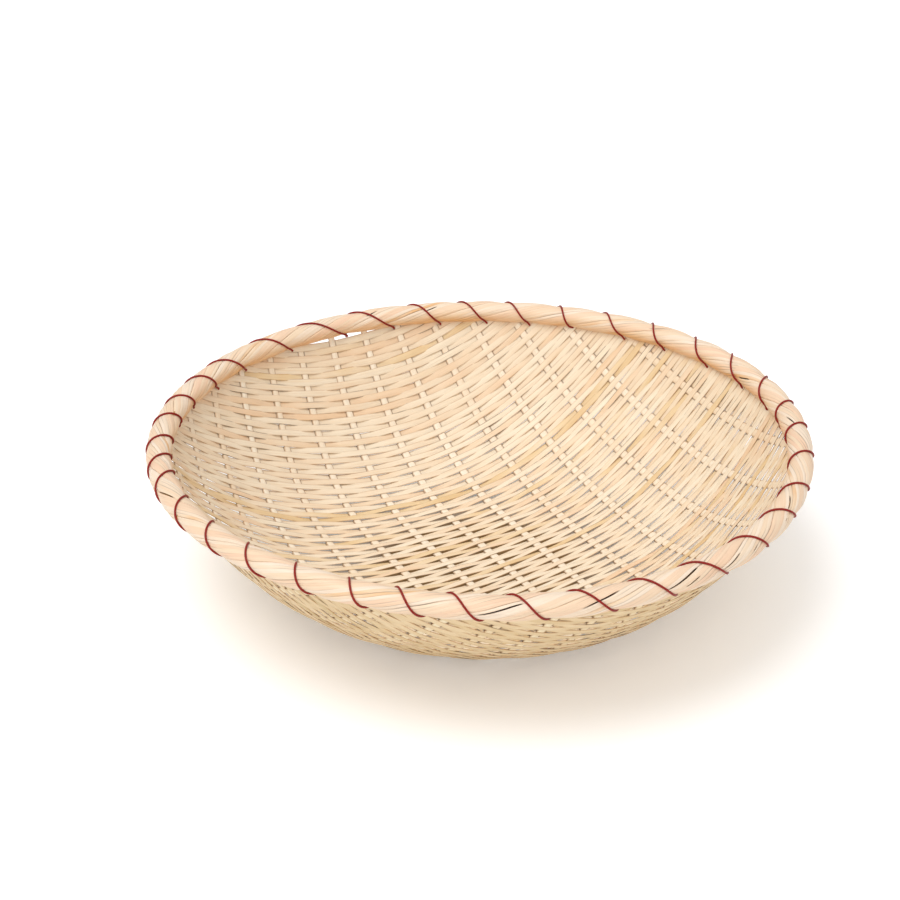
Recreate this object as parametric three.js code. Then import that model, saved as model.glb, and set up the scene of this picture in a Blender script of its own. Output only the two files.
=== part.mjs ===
// A zaru: a round, shallow bamboo basket woven as one mat, with a twisted rope rim lashed on by wire.
// Millimetres, +Z up. The origin is the middle of the plane that the basket rests on.
// Stakes run along Y and weavers along X. Flat mat places (u, v) are arc lengths from the middle.
import * as THREE from 'three';

// The bowl
const rimDiameter = 420; // across the rope, wire left out
const bowlDepth = 94; // from the middle of the rope down to the middle of the mat
const footRadius = 55; // the mat is flat inside it
const wallPower = 2.7; // how sharply the wall turns up
const clearance = 0.3; // between pieces that touch

// Stakes: the flat ribs
const stakeWidth = 5.5;
const stakeThickness = 1;
const stakeCount = 14;
const stakeSpreadShare = 0.875; // of the mat's half width, out to the middle of the last stake
const stakeStep = 28; // length of one straight facet

// Weavers: long splits that go to and fro over and under the stakes
const weaverWidth = 2.7;
const weaverThickness = 0.8;
const weaverCount = 27;

// Rim: strands laid round a hoop
const ropeDiameter = 15.6;
const strandCount = 4;
const strandTurns = 9;
const strandSeam = 1; // open seam between two strands
const strandJoint = 1; // between the two ends of a strand
const strandEdge = 0.9; // thickness at a strand's edge
const strandStepsPerTurn = 8;
const hoopSteps = 40;
const hoopSides = 6;
const degree = Math.PI / 180;
const strandStart = 26 * degree; // heading of the first strand's two ends

// Lashing: one wire sewn over the rim and through the mat
const wireDiameter = 1.1;
const wireTurns = 36;
const wireSides = 4;
const wireStepsOver = 5; // straight runs of a turn, from one side of the mat over the rim to the other
const wirePassClearance = 0.2; // beside the wire where it passes between two weavers
const sewingDepth = 4.5; // from the edge of the mat down to the wire's holes
const wireLegTurn = 65 * degree; // round the rope's section, where the wire leaves the mat's side
const lashingStart = 40 * degree; // heading of the first hole
// Turns are spaced by hand: they wander by a few degrees from an even spacing
const lashingWander = [
  { waves: 1, cosine: 0.7 * degree, sine: 5.4 * degree },
  { waves: 2, cosine: -1.5 * degree, sine: 0.2 * degree },
];

const ropeRadius = ropeDiameter / 2;
const rimRadius = rimDiameter / 2 - ropeRadius;
const wallRun = rimRadius - footRadius;
const wireRadius = wireDiameter / 2;
const courseGap = wireDiameter + 2 * wirePassClearance;
const coursePitch = weaverWidth + courseGap;
const weaveLevel = (stakeThickness + weaverThickness) / 2 + clearance;
const matHalfThickness = weaveLevel + weaverThickness / 2;
const turnLength = courseGap / 2 + weaverWidth;

const straw = new THREE.MeshStandardMaterial({ color: 0xe9cfa2, roughness: 0.55, metalness: 0 });
const paleSplit = new THREE.MeshStandardMaterial({ color: 0xf0d9ae, roughness: 0.5, metalness: 0 });
const greenSplit = new THREE.MeshStandardMaterial({ color: 0xdfcb97, roughness: 0.5, metalness: 0 });
const creamStrand = new THREE.MeshStandardMaterial({ color: 0xf2d7b0, roughness: 0.45, metalness: 0 });
const darkCore = new THREE.MeshStandardMaterial({ color: 0xc9a66e, roughness: 0.7, metalness: 0 });
const redWire = new THREE.MeshStandardMaterial({ color: 0x7c1f1a, roughness: 0.35, metalness: 0.1 });

// The bowl's profile, and the length along it from the middle to the rim

function wallRise(radius) {
  return radius <= footRadius ? 0 : bowlDepth * ((radius - footRadius) / wallRun) ** wallPower;
}

function wallSlope(radius) {
  if (radius <= footRadius) return 0;
  return (bowlDepth * wallPower / wallRun) * ((radius - footRadius) / wallRun) ** (wallPower - 1);
}

const profile = [{ radius: 0, arc: 0 }];
const profileSteps = 600;
for (let step = 1; step <= profileSteps; step += 1) {
  const radius = (rimRadius * step) / profileSteps;
  const last = profile[step - 1];
  const run = radius - last.radius;
  const rise = wallRise(radius) - wallRise(last.radius);
  profile.push({ radius, arc: last.arc + Math.hypot(run, rise) });
}
const wallArc = profile[profileSteps].arc;
const matEdge = wallArc - ropeRadius - clearance;
const stakePitch = (2 * matEdge * stakeSpreadShare) / (stakeCount - 1);

function radiusAt(arc) {
  const next = profile.findIndex((point) => point.arc >= arc);
  if (next <= 0) return arc <= 0 ? 0 : rimRadius;
  const before = profile[next - 1];
  const share = (arc - before.arc) / (profile[next].arc - before.arc);
  return before.radius + share * (profile[next].radius - before.radius);
}

function surfacePoint(u, v) {
  const arc = Math.hypot(u, v);
  const radius = radiusAt(arc);
  const scale = arc === 0 ? 1 : radius / arc;
  return new THREE.Vector3(u * scale, v * scale, matHalfThickness + wallRise(radius));
}

// The unit normal on the inner side
function surfaceNormal(u, v) {
  const arc = Math.hypot(u, v);
  const slope = wallSlope(radiusAt(arc));
  if (slope === 0) return new THREE.Vector3(0, 0, 1);
  return new THREE.Vector3((-slope * u) / arc, (-slope * v) / arc, 1).normalize();
}

// One course pitch of the flat mat, laid on the bowl: its length is the local pitch
function pitchAlongU(u, v) {
  return surfacePoint(u + coursePitch / 2, v).sub(surfacePoint(u - coursePitch / 2, v));
}

function pitchAlongV(u, v) {
  return surfacePoint(u, v + coursePitch / 2).sub(surfacePoint(u, v - coursePitch / 2));
}

// How much of the flat mat's u a real length takes up, where the wall draws the stakes together
function flatLength(length, u, v) {
  return (length * coursePitch) / pitchAlongU(u, v).length();
}

// A solid from rings of points. A twisted patch between two rings folds along its shorter diagonal.
function skin(rings) {
  const sides = rings[0].length;
  const points = rings.flat();
  const faces = [];
  for (let ring = 0; ring + 1 < rings.length; ring += 1) {
    for (let side = 0; side < sides; side += 1) {
      const here = ring * sides + side;
      const beside = ring * sides + ((side + 1) % sides);
      const [ahead, besideAhead] = [here + sides, beside + sides];
      if (points[beside].distanceTo(points[ahead]) < points[here].distanceTo(points[besideAhead])) {
        faces.push(here, ahead, beside, beside, ahead, besideAhead);
      } else {
        faces.push(here, besideAhead, beside, here, ahead, besideAhead);
      }
    }
  }
  const lastRing = (rings.length - 1) * sides;
  for (let side = 1; side + 1 < sides; side += 1) {
    faces.push(0, side, side + 1);
    faces.push(lastRing, lastRing + side + 1, lastRing + side);
  }
  const geometry = new THREE.BufferGeometry().setFromPoints(points);
  geometry.setIndex(faces);
  geometry.computeVertexNormals();
  return geometry;
}

// A strip's section: side is its half width and normal its upper side, both as vectors
function stripRing(centre, side, normal, thickness) {
  const up = normal.clone().multiplyScalar(thickness / 2);
  return [
    centre.clone().add(side).sub(up),
    centre.clone().sub(side).sub(up),
    centre.clone().sub(side).add(up),
    centre.clone().add(side).add(up),
  ];
}

const basket = new THREE.Group();

function addPiece(name, geometry, material) {
  const mesh = new THREE.Mesh(geometry, material);
  mesh.name = name;
  basket.add(mesh);
}

function numbered(stem, index) {
  return `${stem}_${String(index + 1).padStart(2, '0')}`;
}

// Stakes

function makeStake(index) {
  const u = (index - (stakeCount - 1) / 2) * stakePitch;
  const halfWidth = flatLength(stakeWidth / 2, u, Math.sqrt(matEdge ** 2 - u ** 2));
  const tip = Math.sqrt(matEdge ** 2 - (Math.abs(u) + halfWidth) ** 2);
  const steps = Math.ceil((2 * tip) / stakeStep);
  const knots = [];
  for (let step = 0; step <= steps; step += 1) {
    const v = tip * ((2 * step) / steps - 1);
    knots.push({ v, point: surfacePoint(u, v), normal: surfaceNormal(u, v) });
  }
  return { u, tip, knots };
}

// The stake's own straight facets decide where a weaver meets it
function stakeAt(stake, v) {
  const { knots, tip } = stake;
  const steps = knots.length - 1;
  const place = Math.min(Math.max(((v + tip) / (2 * tip)) * steps, 0), steps);
  const first = Math.min(Math.floor(place), steps - 1);
  const share = place - first;
  const along = knots[first + 1].point.clone().sub(knots[first].point).normalize();
  const normal = knots[first].normal.clone().lerp(knots[first + 1].normal, share);
  normal.addScaledVector(along, -normal.dot(along)).normalize();
  const point = knots[first].point.clone().lerp(knots[first + 1].point, share);
  return { point, normal, along, across: along.clone().cross(normal) };
}

const stakes = Array.from({ length: stakeCount }, (_, index) => makeStake(index));

stakes.forEach((stake, index) => {
  const rings = stake.knots.map((knot) => {
    const { point, normal, across } = stakeAt(stake, knot.v);
    return stripRing(point, across.multiplyScalar(-stakeWidth / 2), normal, stakeThickness);
  });
  addPiece(numbered('stake', index), skin(rings), straw);
});

// Weavers: courses at an even pitch, shared out among the splits

const middleReach = stakePitch / 2 + stakeWidth / 2 + clearance + turnLength;
const lastCourse = Math.sqrt(matEdge ** 2 - middleReach ** 2) - weaverWidth / 2;
const courseCount = 2 * Math.floor(lastCourse / coursePitch + 1 / 2);
const courseV = (index) => (index - (courseCount - 1) / 2) * coursePitch;
const firstCourseOf = (weaver) => Math.round((weaver * courseCount) / weaverCount);

function weaverOf(course) {
  let weaver = 0;
  while (firstCourseOf(weaver + 1) <= course) weaver += 1;
  return weaver;
}

// A split turns back from a course to the next one: at +1 or -1 along u, or 0 where it ends
function turnAfter(course) {
  if (course < 0 || course + 1 >= courseCount) return 0;
  const weaver = weaverOf(course);
  if (weaverOf(course + 1) !== weaver) return 0;
  return (course - firstCourseOf(weaver)) % 2 === 0 ? 1 : -1;
}

// How far a course goes on one side before its turn, without stopping in the way of a stake
function courseEnd(course, side) {
  const turnsOn = turnAfter(course) === side;
  const turnsBack = turnAfter(course - 1) === side;
  let widest = Math.abs(courseV(course));
  if (turnsOn) widest = Math.max(widest, Math.abs(courseV(course + 1)));
  if (turnsBack) widest = Math.max(widest, Math.abs(courseV(course - 1)));
  const turn = turnsOn || turnsBack ? turnLength : 0;
  let end = Math.sqrt(matEdge ** 2 - (widest + weaverWidth / 2) ** 2) - turn;
  for (const { u } of stakes) {
    const room = flatLength(stakeWidth / 2 + clearance, u, courseV(course));
    const nearSide = Math.abs(u) - room;
    const farSide = Math.abs(u) + room;
    if (end < farSide && end + turn > nearSide) end = nearSide - turn;
  }
  return end;
}

// How much further out a split lies where its straight runs would cut the stake's edges
function bendLift(crossing, neighbour) {
  const way = neighbour.point.clone().addScaledVector(neighbour.normal, neighbour.level);
  way.sub(crossing.point).addScaledVector(crossing.normal, -crossing.level);
  const height = -Math.sign(crossing.level) * way.dot(crossing.normal);
  const run = Math.sqrt(Math.max(way.lengthSq() - height ** 2, (stakeWidth / 2) ** 2));
  return Math.max(0, ((height / run) * stakeWidth) / 2);
}

// The stations of a course from -u to +u: where it crosses each stake, and its two ends.
// A split that would stand below the foot lies flat under its stake instead, and bears the basket.
function makeCourse(course) {
  const v = courseV(course);
  const ends = { left: -courseEnd(course, -1), right: courseEnd(course, 1) };
  const crossings = [];
  stakes.forEach((stake, index) => {
    if (stake.u < ends.left || stake.u > ends.right) return;
    const level = (index + course) % 2 === 0 ? weaveLevel : -weaveLevel;
    crossings.push({ u: stake.u, v, level, ...stakeAt(stake, v) });
  });
  const endStation = (u, level) => ({
    u, v, level,
    point: surfacePoint(u, v),
    normal: surfaceNormal(u, v),
    along: pitchAlongV(u, v).normalize(),
  });
  const raised = crossings.map((crossing, index) => {
    const { u, level } = crossing;
    const before = crossings[index - 1] ?? endStation(ends.left, level);
    const after = crossings[index + 1] ?? endStation(ends.right, level);
    const lift = Math.max(bendLift(crossing, before), bendLift(crossing, after));
    const flat = level < 0 && crossing.point.z - matHalfThickness < lift + clearance;
    return { ...crossing, flat, level: flat ? level : level + Math.sign(level) * lift };
  });
  const stations = [endStation(ends.left, raised[0].level)];
  for (const station of raised) {
    if (!station.flat) stations.push(station);
    for (const side of station.flat ? [-1, 1] : []) {
      const point = station.point.clone().addScaledVector(station.across, (side * stakeWidth) / 2);
      stations.push({ ...station, point, u: station.u + (side * stakeWidth) / 2 });
    }
  }
  stations.push(endStation(ends.right, raised[raised.length - 1].level));
  return stations;
}

const courses = Array.from({ length: courseCount }, (_, index) => makeCourse(index));

const stationCentre = ({ point, normal, level }) => point.clone().addScaledVector(normal, level);

function courseRing(station, heading) {
  const halfWidth = (pitchAlongV(station.u, station.v).length() - courseGap) / 2;
  const side = station.along.clone().multiplyScalar(heading * halfWidth);
  return stripRing(stationCentre(station), side, station.normal, weaverThickness);
}

// The fold beyond the end of a course, lying along the edge of the mat
function turnRing(course, side) {
  const v = courseV(course) + coursePitch / 2;
  const u = side * (courseEnd(course, side) + turnLength - weaverWidth / 2);
  const along = pitchAlongU(u, v);
  const halfWidth = (along.length() - courseGap) / 2;
  const across = along.normalize().multiplyScalar(-halfWidth);
  return stripRing(surfacePoint(u, v), across, surfaceNormal(u, v), weaverThickness);
}

for (let weaver = 0; weaver < weaverCount; weaver += 1) {
  const rings = [];
  for (let course = firstCourseOf(weaver); course < firstCourseOf(weaver + 1); course += 1) {
    const heading = (course - firstCourseOf(weaver)) % 2 === 0 ? 1 : -1;
    const courseRings = courses[course].map((station) => courseRing(station, heading));
    rings.push(...(heading > 0 ? courseRings : courseRings.reverse()));
    if (turnAfter(course) !== 0) rings.push(turnRing(course, turnAfter(course)));
  }
  addPiece(numbered('weaver', weaver), skin(rings), weaver % 2 === 0 ? paleSplit : greenSplit);
}

// Rim: places round the rope's section are angles from the line down the wall, inner side first

const wallAngle = Math.atan(wallSlope(rimRadius));
const rimHeight = matHalfThickness + bowlDepth;

function rimPoint(heading, turn, distance) {
  const angle = Math.PI + wallAngle - turn;
  const radius = rimRadius + distance * Math.cos(angle);
  const height = rimHeight + distance * Math.sin(angle);
  return new THREE.Vector3(radius * Math.cos(heading), radius * Math.sin(heading), height);
}

// Strands: crowned outside and flat towards the hoop, so their edges and the hoop share one size
const strandHalfTurn = Math.PI / strandCount - strandSeam / ropeRadius / 2;
const strandStepTurn = (2 * Math.PI) / strandStepsPerTurn;
const strandInside = ropeRadius - strandEdge;
const hoopRadius = strandInside * Math.cos(strandHalfTurn) * Math.cos(strandStepTurn / 2) - clearance;

function strandRing(strand, heading) {
  const middle = (2 * Math.PI * strand) / strandCount - strandTurns * heading;
  return [
    rimPoint(heading, middle + strandHalfTurn, strandInside),
    rimPoint(heading, middle + strandHalfTurn, ropeRadius),
    rimPoint(heading, middle, ropeRadius),
    rimPoint(heading, middle - strandHalfTurn, ropeRadius),
    rimPoint(heading, middle - strandHalfTurn, strandInside),
  ];
}

// The least distance between points of one tube that lie at least some rings apart along it
function leastSelfGap(rings, ringsApart) {
  let least = Infinity;
  for (let near = 0; near < rings.length; near += 1) {
    for (let far = near + ringsApart; far < rings.length; far += 1) {
      for (const point of rings[near]) {
        for (const other of rings[far]) least = Math.min(least, point.distanceTo(other));
      }
    }
  }
  return least;
}

for (let strand = 0; strand < strandCount; strand += 1) {
  const steps = strandTurns * strandStepsPerTurn;
  const start = strandStart + (2 * Math.PI * strand) / strandCount;
  const joint = strandJoint / (rimRadius - ropeRadius);
  const rings = [];
  for (let step = 0; step <= steps; step += 1) {
    rings.push(strandRing(strand, start + joint / 2 + ((2 * Math.PI - joint) * step) / steps));
  }
  addPiece(numbered('rim_strand', strand), skin(rings), creamStrand);
  console.log(`rim strand ${strand + 1}: least gap to itself`, leastSelfGap(rings, strandStepsPerTurn / 2));
}

// The hoop inside the strands
const hoopOutline = [];
for (let side = 0; side <= hoopSides; side += 1) {
  const angle = (2 * Math.PI * side) / hoopSides;
  const across = hoopRadius * Math.cos(angle);
  hoopOutline.push(new THREE.Vector2(rimRadius + across, rimHeight + hoopRadius * Math.sin(angle)));
}
const hoopGeometry = new THREE.LatheGeometry(hoopOutline, hoopSteps);
hoopGeometry.rotateX(Math.PI / 2);
addPiece('rim_hoop', hoopGeometry, darkCore);

// Lashing: the holes lie in the gaps between courses, clear of the stakes and of the turned ends

// A course's middle line between two of its stations
function courseAt(course, u) {
  const stations = courses[course];
  const next = Math.min(Math.max(stations.findIndex((station) => station.u > u), 1), stations.length - 1);
  const [before, after] = [stations[next - 1], stations[next]];
  const share = Math.min(Math.max((u - before.u) / (after.u - before.u), 0), 1);
  return {
    point: before.point.clone().lerp(after.point, share),
    normal: before.normal.clone().lerp(after.normal, share).normalize(),
    level: before.level + share * (after.level - before.level),
  };
}

function clearOfStakes(u, v, reach) {
  const room = flatLength(stakeWidth / 2 + wireRadius + clearance, u, v);
  const blocking = stakes.find((stake) => Math.abs(u - stake.u) < room);
  if (!blocking) return u;
  const outward = blocking.u + Math.sign(u) * room;
  const nearerOutside = Math.abs(u) > Math.abs(blocking.u);
  return nearerOutside && Math.abs(outward) < reach ? outward : blocking.u - Math.sign(u) * room;
}

function wireHole(heading) {
  const arc = matEdge - sewingDepth;
  const [u, v] = [arc * Math.cos(heading), arc * Math.sin(heading)];
  let gap = Math.round(v / coursePitch);
  if (Math.abs(gap) > courseCount / 2 - 1) gap = Math.sign(gap) * (courseCount / 2 - 1);
  if (Math.hypot(u, gap * coursePitch) > arc + clearance) gap -= Math.sign(gap);
  const below = courseCount / 2 - 1 + gap;
  const side = Math.sign(u);
  const ends = Math.min(courseEnd(below, side), courseEnd(below + 1, side));
  const reach = Math.min(ends - wireRadius - clearance, Math.sqrt(arc ** 2 - (gap * coursePitch) ** 2));
  const place = clearOfStakes(side * Math.min(Math.abs(u), reach), gap * coursePitch, reach);
  const [first, second] = [courseAt(below, place), courseAt(below + 1, place)];
  const level = Math.max(Math.abs(first.level), Math.abs(second.level));
  return {
    point: first.point.clone().add(second.point).divideScalar(2),
    normal: first.normal.clone().add(second.normal).normalize(),
    level: level + weaverThickness / 2 + 2 * clearance + wireRadius,
  };
}

// A tube through points: each ring lies in the plane halfway between its two runs
function tubeRings(points, radius, sides) {
  const normal = new THREE.Vector3(0, 0, 1);
  return points.map((point, index) => {
    const before = points[Math.max(index - 1, 0)];
    const after = points[Math.min(index + 1, points.length - 1)];
    const incoming = point.clone().sub(before).normalize();
    const outgoing = after.clone().sub(point).normalize();
    const tangent = incoming.add(outgoing).normalize();
    normal.addScaledVector(tangent, -normal.dot(tangent)).normalize();
    const binormal = normal.clone().cross(tangent);
    return Array.from({ length: sides }, (_, side) => {
      const angle = (2 * Math.PI * side) / sides;
      const corner = point.clone().addScaledVector(normal, radius * Math.cos(angle));
      return corner.addScaledVector(binormal, radius * Math.sin(angle));
    });
  });
}

function lashingHeading(turn) {
  const even = (2 * Math.PI * turn) / wireTurns;
  let heading = lashingStart + even;
  for (const { waves, cosine, sine } of lashingWander) {
    heading += cosine * Math.cos(waves * even) + sine * Math.sin(waves * even);
  }
  return heading;
}

const wireStepTurn = (2 * Math.PI - 2 * wireLegTurn) / wireStepsOver;
const wireDistance = (ropeRadius + clearance + wireRadius) / Math.cos(wireStepTurn / 2);
const wirePoints = [];
for (let turn = 0; turn < wireTurns; turn += 1) {
  const hole = wireHole(lashingHeading(turn));
  wirePoints.push(hole.point.clone().addScaledVector(hole.normal, -hole.level));
  wirePoints.push(hole.point.clone().addScaledVector(hole.normal, hole.level));
  const nextHole = wireHole(lashingHeading(turn + 1));
  const from = Math.atan2(hole.point.y, hole.point.x);
  const to = Math.atan2(nextHole.point.y, nextHole.point.x);
  const advance = (to - from + 2 * Math.PI) % (2 * Math.PI);
  for (let step = 0; step <= wireStepsOver; step += 1) {
    const around = wireLegTurn + step * wireStepTurn;
    wirePoints.push(rimPoint(from + (advance * around) / (2 * Math.PI), around, wireDistance));
  }
}
const wireRings = tubeRings(wirePoints, wireRadius, wireSides);
addPiece('lashing_wire', skin(wireRings), redWire);
console.log('lashing wire: least gap to itself', leastSelfGap(wireRings, (wireStepsOver + 3) / 2));

export default basket;
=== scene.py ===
# A zaru, dressed for the camera: woven mat, rope rim of shaved bamboo and a lashing of coated wire.
# Metres, +Z up. The origin is the middle of the plane that the basket rests on.
# Stakes run along Y and weavers along X. Flat mat places (u, v) are arc lengths from the middle.
import math

import bpy
import numpy as np
from mathutils import Matrix, Vector


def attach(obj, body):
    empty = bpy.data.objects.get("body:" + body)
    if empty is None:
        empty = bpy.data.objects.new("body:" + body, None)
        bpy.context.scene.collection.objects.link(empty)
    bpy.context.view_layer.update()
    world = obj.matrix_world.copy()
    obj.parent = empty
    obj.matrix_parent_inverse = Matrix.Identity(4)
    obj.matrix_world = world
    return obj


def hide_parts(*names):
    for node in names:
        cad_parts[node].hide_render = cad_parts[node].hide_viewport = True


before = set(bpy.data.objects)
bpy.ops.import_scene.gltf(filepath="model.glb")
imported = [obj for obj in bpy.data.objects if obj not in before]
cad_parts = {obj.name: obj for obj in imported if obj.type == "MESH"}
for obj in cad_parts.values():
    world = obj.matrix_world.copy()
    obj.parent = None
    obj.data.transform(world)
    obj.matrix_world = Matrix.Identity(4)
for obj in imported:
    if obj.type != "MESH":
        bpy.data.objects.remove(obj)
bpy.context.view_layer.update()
MM = 0.001
DEGREE = math.pi / 180
TURN = 2 * math.pi

# The bowl
RIM_DIAMETER = 420 * MM
RIM_HEIGHT = 95.6 * MM
FOOT_RADIUS = 55 * MM
WALL_POWER = 2.7
CLEARANCE = 0.3 * MM
ROPE_RADIUS = 7.8 * MM
RIM_RADIUS = RIM_DIAMETER / 2 - ROPE_RADIUS
WALL_RUN = RIM_RADIUS - FOOT_RADIUS
PROFILE_POINTS = 2401

# Stakes
STAKE_COUNT = 14
STAKE_SPREAD_SHARE = 0.875  # of the mat's half width, out to the middle of the last stake
STAKE_WIDTH = 5.5 * MM
STAKE_THICKNESS = 1.05 * MM
STAKE_CROWN = 0.12 * MM
STAKE_STEPS = 170
STAKE_SEED = 1000

# Weavers: each split makes a few courses
SPLIT_COUNT = 27
COURSE_COUNT = 110
COURSE_PITCH = 4.2 * MM
WEAVER_WIDTH = 4.05 * MM
WEAVER_THICKNESS = 0.6 * MM
WEAVER_CROWN = 0.06 * MM
WEAVER_STEPS = 168
WEAVER_SEED = 2000
WEAVE_LEVEL = 0.95 * MM
WALL_TIGHTNESS = 0.26  # how much wider than on the foot the weavers lie at the rim
WALL_FLATNESS = 0.5  # how much less than on the foot they rise and dip there
MAT_HALF_THICKNESS = WEAVE_LEVEL + WEAVER_THICKNESS / 2
BOWL_DEPTH = RIM_HEIGHT - MAT_HALF_THICKNESS

# The ends of stakes and weavers, found by halving
TUCK = 2.6 * MM  # how far the mat's ends run on into the rope
LONGEST_REACH = 1.2  # of the mat's edge
LEAST_REACH = 2 * MM
HALVINGS = 24

# The section of a split: shares of its width, of half its thickness or of its crown
EDGE_ROUNDING = 0.14
EDGE_FLAT = 0.4
SHOULDER_HEIGHT = 0.9
HALFWAY_CROWN = 0.75
EDGE_START = 0.99  # of the half width, beyond which a point lies on a cut edge

# How splits stray: each size has the length along the split over which it wanders
WANDER_LENGTHS = (0.6, 1.6)  # of the length that is asked for
STAKE_SWAY = 0.25 * MM
STAKE_SWAY_LENGTH = 160 * MM
STAKE_WIDENING = 0.04
STAKE_WIDENING_LENGTH = 120 * MM
STAKE_TILT = 0.02
STAKE_TILT_LENGTH = 90 * MM
STAKE_TILT_WAVES = 2
WEAVER_WIDTHS = (0.96, 1.03)  # of the weaver's width, from course to course
WEAVER_SWAY = 0.24 * MM
WEAVER_SWAY_LENGTH = 70 * MM
WEAVER_WIDENING = 0.06
WEAVER_WIDENING_LENGTH = 50 * MM
WEAVER_TILT = 0.05
WEAVER_TILT_LENGTH = 60 * MM

# How splits are coloured along their cut edges: brown there as painted shade in the creases between
# neighbouring splits, and with darker spots
STAKE_EDGE_BROWN = 0.6
WEAVER_EDGE_BROWN = (0.1, 0.8)
WEAVER_TONE_BELL = 2  # the higher, the fewer weavers of the first and the last tones
SPOT_LENGTH = 80 * MM
SPOT_GAIN = 1.4
SPOT_START = 1.1
SPOT_DARKNESS = 0.8
UNDER_GAIN = 1.5

# Rope: strands of shaved splits that lie side by side and turn round the rim
STRAND_COUNT = 4
STRAND_TURNS = 9
STRAND_RINGS = 720
STRAND_SEED = 3000
STRAND_DEPTH = 3.2 * MM
STRAND_CROWN = 0.4 * MM
STRAND_CROWN_POWER = 4
HALF_STRAND = TURN / STRAND_COUNT / 2
SPLITS_PER_STRAND = 5
SPLIT_ANGLE = TURN / STRAND_COUNT / SPLITS_PER_STRAND
SPLIT_POINTS = 6
SPLIT_SWELL = 0.08 * MM
SPLIT_SWELL_LENGTH = 110 * MM
SEAM = 0.08 * MM
SEAM_SHARE = 0.06  # of a split's angle, left open between it and the next
SEAM_SWAY = 0.04
SEAM_SWAY_LENGTH = 140 * MM
# Painted shade in patches along the seams between a strand's splits
SEAM_SHADE = 0.45
SEAM_SHADE_PACE = 1.7
SEAM_SHADE_START = 0.3
GROOVE = 0.12 * MM
CRACK_DEPTH = 2.5 * MM
# How dark the painted shade in a gaping crack is, for its width
CRACK_SHADE_GAIN = 3
# Painted shade and reflected warm light on the rope's lower inner side, in amber tones
AMBER_TURN = 25 * DEGREE
AMBER_REACH = 38 * DEGREE
AMBER_LEVEL = 0.7
AMBER_WANDER = 0.4
AMBER_WANDER_LENGTH = 120 * MM
INSIDE_POINTS = 3
INSIDE_LENGTHS = np.array([2, 6, 10, 13]) * MM  # UV lengths on from the outer side
INSIDE_TONE = 0.5
# Painted shade on the strands' hidden inner sides
INSIDE_SHADE = 0.3

# Lashing
WIRE_RADIUS = 0.66 * MM
WIRE_SIDES = 10
WIRE_POINTS_OVER = 13
WIRE_STEPS = 4  # from one point to the next
WIRE_LEG_TURN = 16 * DEGREE
WIRE_SINK = 0.08 * MM
WIRE_PASS = 1.3 * MM  # how far it goes beyond the mat's middle surface
WIRE_RING_LENGTH = 1.2 * MM
WIRE_SIDE_LENGTH = 0.4 * MM
SEWING_DEPTH = 0.3 * MM
SQUEEZE = 1 * MM
SQUEEZE_REACH = 8 * MM

# A basket made by hand: its rim is a little out of round and out of level, and the rope lies a little flat
RIM_WANDER = (
    {"waves": 2, "out": (-1.0 * MM, 0.2 * MM), "up": (-0.1 * MM, 1.2 * MM)},
    {"waves": 3, "out": (1.7 * MM, 1.05 * MM), "up": (0.3 * MM, -0.65 * MM)},
)
ROPE_WIDE = 1.04
ROPE_TALL = 0.9
ROPE_SWELL = 0.25 * MM

# The weave is pulled a little out of square as it is bent up: courses lift, and stakes bow and fan
COURSE_LIFT = 3 * MM
COURSE_LIFT_MIDDLE = 6 * MM
COURSE_LIFT_REACH = 70 * MM
COURSE_LIFT_WAVE = 340 * MM
COURSE_LIFT_START = 65 * MM
COURSE_LIFT_LEAN = 0.4
STAKE_BOW = 6 * MM
STAKE_FAN = 0.06
STAKE_SPREAD = 6 * MM
STAKE_SPREAD_START = 90 * MM

# The photograph's view
PHOTO_SIDE = 900
CAMERA_DISTANCE = 1300 * MM
FOCAL_PIXELS = 2058
CAMERA_AZIMUTH = -30 * DEGREE
CAMERA_ELEVATION = 26.9 * DEGREE
CAMERA_ROLL = 0.2 * DEGREE
RIM_CENTRE_PIXEL = (480.5, 439)
SENSOR_WIDTH = 36
NEAREST_SEEN = 50 * MM
FARTHEST_SEEN = 50

# The wire's turns in the photograph, from the far side round by the left: outer end and inner end of each
WIRE_PIXELS = (
    ((559.6, 308.8), (569.2, 325.1)), ((505.4, 305.1), (527.7, 321.9)), ((458.3, 305.6), (484.7, 320.6)),
    ((408.9, 307.9), (438.4, 323.0)), ((349.1, 316.3), (392.2, 330.7)), ((296.6, 327.9), (344.4, 337.5)),
    ((251.2, 344.2), (290.7, 349.3)), ((209.7, 369.7), (247.2, 372.9)), ((187.4, 384.1), (218.5, 390.4)),
    ((169.1, 406.4), (197.0, 408.8)), ((153.9, 425.5), (182.6, 425.5)), ((145.9, 452.6), (173.0, 445.5)),
    ((150.7, 479.4), (171.5, 460.3)), ((160.3, 504.6), (175.4, 473.8)), ((187.4, 533.6), (188.2, 498.6)),
    ((222.5, 556.8), (214.5, 521.7)), ((267.1, 579.1), (249.1, 542.9)), ((315.0, 595.0), (297.7, 561.1)),
    ((369.2, 607.3), (349.2, 575.9)), ((425.7, 617.4), (395.7, 586.5)), ((485.5, 621.1), (448.8, 592.9)),
    ((550.8, 618.7), (507.8, 594.5)), ((618.3, 610.4), (569.2, 590.0)), ((676.5, 594.8), (631.0, 582.0)),
    ((728.6, 573.3), (681.2, 567.4)), ((768.5, 549.4), (730.4, 545.1)), ((795.2, 518.7), (759.9, 521.0)),
    ((809.6, 491.2), (777.7, 497.5)), ((814.0, 457.0), (789.2, 471.4)), ((807.2, 426.8), (789.7, 445.9)),
    ((791.3, 404.5), (780.6, 423.9)), ((766.9, 377.4), (766.2, 404.5)), ((732.3, 354.1), (738.6, 385.3)),
    ((695.6, 338.6), (704.7, 363.3)), ((652.5, 322.7), (662.6, 346.1)), ((604.2, 314.7), (621.8, 334.6)),
)

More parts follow.
